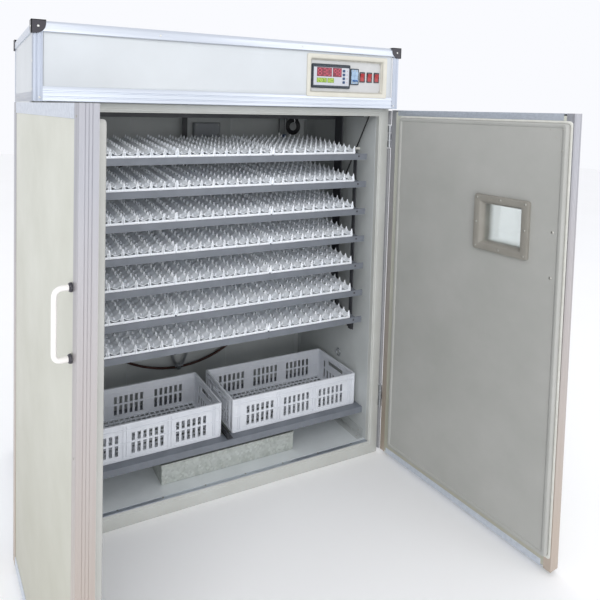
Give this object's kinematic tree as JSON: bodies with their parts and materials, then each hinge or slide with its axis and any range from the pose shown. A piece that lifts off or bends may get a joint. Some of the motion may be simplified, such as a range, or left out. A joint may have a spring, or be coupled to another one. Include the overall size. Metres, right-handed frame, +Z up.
{
  "type": "egg incubator",
  "caption": "Two-door cabinet egg incubator with a coupled tilting egg rack, sliding egg trays, hatching baskets, water pan, ring heater, fan and control panel.",
  "frame": {"origin": "centre of the cabinet's base, on the floor", "axes": "+X to the right as seen from the front, -Y out of the front, +Z up"},
  "size_m": [1.5558, 1.2605, 1.64],
  "materials": {
    "cream_panel": "satin white powder-coated sandwich panel",
    "inner_panel": "satin grey-green inner lining",
    "aluminium": "brushed anodised aluminium profile",
    "door_face": "satin cream powder-coated door skin",
    "white_plate": "satin white plate",
    "black_plastic": "fine-textured black plastic",
    "blue_plastic": "semi-gloss blue plastic",
    "red_plastic": "semi-gloss red plastic",
    "slate_steel": "slate-grey painted angle steel",
    "dark_steel": "black painted steel",
    "zinc_steel": "galvanised steel with a faint spangle",
    "tray_plastic": "translucent white moulded plastic",
    "basket_plastic": "pale blue-white moulded plastic",
    "heater_metal": "dark red-brown oxidised heater tube",
    "cable_black": "black cable sheath",
    "clear_glass": "clear glass",
    "beige_plastic": "satin beige plastic",
    "handle_white": "glossy white plastic"
  },
  "bodies": {
    "cabinet": {"left_wall": "cream_panel", "right_wall": "cream_panel", "rear_wall": "cream_panel", "floor_panel": "inner_panel", "ceiling_panel": "inner_panel", "roof_panel": "cream_panel", "control_fascia": "aluminium", "top_rim": "aluminium", "door_surround": "aluminium", "control_window_frame": "door_face", "control_plate": "white_plate", "controller": "black_plastic", "breaker": "black_plastic", "rack_stand": "dark_steel", "turn_motor": "zinc_steel", "motor_cable": "cable_black", "heater_ring": "heater_metal", "fan_bracket": "zinc_steel", "fan_motor": "zinc_steel", "basket_shelf": "slate_steel", "sensor_cable_coil": "cable_black", "sensor_cable_upper": "cable_black", "sensor_cable_lower": "cable_black", "temperature_probe": "white_plate", "humidity_lead": "cable_black", "humidity_probe": "blue_plastic"},
    "right_door": {"right_door": "door_face", "right_door_handle": "handle_white", "right_window_frame": "beige_plastic", "right_window_glass": "clear_glass"},
    "left_door": {"left_door": "door_face", "left_door_handle": "handle_white"},
    "level_1": {"tray_frame_1": "slate_steel"},
    "trays_1": {"egg_trays_1": "tray_plastic"},
    "level_2": {"tray_frame_2": "slate_steel"},
    "trays_2": {"egg_trays_2": "tray_plastic"},
    "level_3": {"tray_frame_3": "slate_steel"},
    "trays_3": {"egg_trays_3": "tray_plastic"},
    "level_4": {"tray_frame_4": "slate_steel"},
    "trays_4": {"egg_trays_4": "tray_plastic"},
    "level_5": {"tray_frame_5": "slate_steel"},
    "trays_5": {"egg_trays_5": "tray_plastic"},
    "level_6": {"tray_frame_6": "slate_steel"},
    "trays_6": {"egg_trays_6": "tray_plastic"},
    "level_7": {"tray_frame_7": "slate_steel"},
    "trays_7": {"egg_trays_7": "tray_plastic"},
    "link": {"link_bar": "slate_steel"},
    "crank": {"turn_crank": "dark_steel"},
    "fan": {"fan_rotor": "slate_steel"},
    "left_basket": {"left_hatching_basket": "basket_plastic"},
    "right_basket": {"right_hatching_basket": "basket_plastic"},
    "pan": {"water_pan": "zinc_steel"},
    "rocker_1": {"rocker_switch_1": "red_plastic"},
    "rocker_2": {"rocker_switch_2": "red_plastic"},
    "rocker_3": {"rocker_switch_3": "red_plastic"},
    "toggle": {"breaker_toggle": "blue_plastic"},
    "button_1": {"controller_button_1": "blue_plastic"},
    "button_2": {"controller_button_2": "blue_plastic"},
    "button_3": {"controller_button_3": "blue_plastic"},
    "button_4": {"controller_button_4": "blue_plastic"}
  },
  "joints": [
    {"name": "right_door_hinge", "type": "hinge", "parent": "cabinet", "child": "right_door", "pos_m": [0.688, -0.263, 0.72], "axis": [0, 0, 1], "range_deg": [-95, 70]},
    {"name": "left_door_hinge", "type": "hinge", "parent": "cabinet", "child": "left_door", "pos_m": [-0.688, -0.263, 0.72], "axis": [0, 0, -1], "range_deg": [-85, 80]},
    {"name": "rack_tilt", "type": "hinge", "parent": "cabinet", "child": "level_1", "pos_m": [0, -0.06, 1.228], "axis": [1, 0, 0], "range_deg": [-50, 40]},
    {"name": "level_2_tilt", "type": "hinge", "parent": "cabinet", "child": "level_2", "pos_m": [0, -0.06, 1.118], "axis": [1, 0, 0], "range_deg": [-50, 40]},
    {"name": "level_3_tilt", "type": "hinge", "parent": "cabinet", "child": "level_3", "pos_m": [0, -0.06, 1.008], "axis": [1, 0, 0], "range_deg": [-50, 40]},
    {"name": "level_4_tilt", "type": "hinge", "parent": "cabinet", "child": "level_4", "pos_m": [0, -0.06, 0.898], "axis": [1, 0, 0], "range_deg": [-50, 40]},
    {"name": "level_5_tilt", "type": "hinge", "parent": "cabinet", "child": "level_5", "pos_m": [0, -0.06, 0.788], "axis": [1, 0, 0], "range_deg": [-50, 40]},
    {"name": "level_6_tilt", "type": "hinge", "parent": "cabinet", "child": "level_6", "pos_m": [0, -0.06, 0.678], "axis": [1, 0, 0], "range_deg": [-50, 40]},
    {"name": "level_7_tilt", "type": "hinge", "parent": "cabinet", "child": "level_7", "pos_m": [0, -0.06, 0.568], "axis": [1, 0, 0], "range_deg": [-50, 40]},
    {"name": "trays_1_slide", "type": "slide", "parent": "level_1", "child": "trays_1", "axis": [0, -0.9962, -0.0872], "range_m": [0, 0.17]},
    {"name": "trays_2_slide", "type": "slide", "parent": "level_2", "child": "trays_2", "axis": [0, -0.9962, -0.0872], "range_m": [0, 0.17]},
    {"name": "trays_3_slide", "type": "slide", "parent": "level_3", "child": "trays_3", "axis": [0, -0.9962, -0.0872], "range_m": [0, 0.17]},
    {"name": "trays_4_slide", "type": "slide", "parent": "level_4", "child": "trays_4", "axis": [0, -0.9962, -0.0872], "range_m": [0, 0.17]},
    {"name": "trays_5_slide", "type": "slide", "parent": "level_5", "child": "trays_5", "axis": [0, -0.9962, -0.0872], "range_m": [0, 0.17]},
    {"name": "trays_6_slide", "type": "slide", "parent": "level_6", "child": "trays_6", "axis": [0, -0.9962, -0.0872], "range_m": [0, 0.17]},
    {"name": "trays_7_slide", "type": "slide", "parent": "level_7", "child": "trays_7", "axis": [0, -0.9962, -0.0872], "range_m": [0, 0.17]},
    {"name": "link_swing", "type": "hinge", "parent": "level_1", "child": "link", "pos_m": [0.58, -0.18951, 1.21667], "axis": [1, 0, 0], "range_deg": [-40, 50]},
    {"name": "crank_turn", "type": "hinge", "parent": "cabinet", "child": "crank", "pos_m": [0.588, -0.06, 0.526], "axis": [1, 0, 0], "range_deg": [-50, 40]},
    {"name": "fan_spin", "type": "hinge", "parent": "cabinet", "child": "fan", "pos_m": [0, 0.147, 0.739], "axis": [0, 1, 0], "continuous": true},
    {"name": "left_basket_slide", "type": "slide", "parent": "cabinet", "child": "left_basket", "axis": [0, -1, 0], "range_m": [0, 0.15]},
    {"name": "right_basket_slide", "type": "slide", "parent": "cabinet", "child": "right_basket", "axis": [0, -1, 0], "range_m": [0, 0.15]},
    {"name": "pan_slide", "type": "slide", "parent": "cabinet", "child": "pan", "axis": [0, -1, 0], "range_m": [0, 0.25]},
    {"name": "rocker_1_turn", "type": "hinge", "parent": "cabinet", "child": "rocker_1", "pos_m": [0.516, -0.292, 1.522], "axis": [1, 0, 0], "range_deg": [-16, 0]},
    {"name": "rocker_2_turn", "type": "hinge", "parent": "cabinet", "child": "rocker_2", "pos_m": [0.55, -0.292, 1.522], "axis": [1, 0, 0], "range_deg": [-16, 0]},
    {"name": "rocker_3_turn", "type": "hinge", "parent": "cabinet", "child": "rocker_3", "pos_m": [0.584, -0.292, 1.522], "axis": [1, 0, 0], "range_deg": [-16, 0]},
    {"name": "breaker_toggle_turn", "type": "hinge", "parent": "cabinet", "child": "toggle", "pos_m": [0.478, -0.297, 1.51], "axis": [1, 0, 0], "range_deg": [-60, 0]},
    {"name": "button_1_press", "type": "slide", "parent": "cabinet", "child": "button_1", "axis": [0, 1, 0], "range_m": [0, 0.0012], "stiffness_N_per_m": 200},
    {"name": "button_2_press", "type": "slide", "parent": "cabinet", "child": "button_2", "axis": [0, 1, 0], "range_m": [0, 0.0012], "stiffness_N_per_m": 200},
    {"name": "button_3_press", "type": "slide", "parent": "cabinet", "child": "button_3", "axis": [0, 1, 0], "range_m": [0, 0.0012], "stiffness_N_per_m": 200},
    {"name": "button_4_press", "type": "slide", "parent": "cabinet", "child": "button_4", "axis": [0, 1, 0], "range_m": [0, 0.0012], "stiffness_N_per_m": 200}
  ],
  "couplings": [
    {"joint": "level_2_tilt", "follows": "rack_tilt", "ratio": 1},
    {"joint": "level_3_tilt", "follows": "rack_tilt", "ratio": 1},
    {"joint": "level_4_tilt", "follows": "rack_tilt", "ratio": 1},
    {"joint": "level_5_tilt", "follows": "rack_tilt", "ratio": 1},
    {"joint": "level_6_tilt", "follows": "rack_tilt", "ratio": 1},
    {"joint": "level_7_tilt", "follows": "rack_tilt", "ratio": 1},
    {"joint": "link_swing", "follows": "rack_tilt", "ratio": -1},
    {"joint": "crank_turn", "follows": "rack_tilt", "ratio": 1}
  ]
}
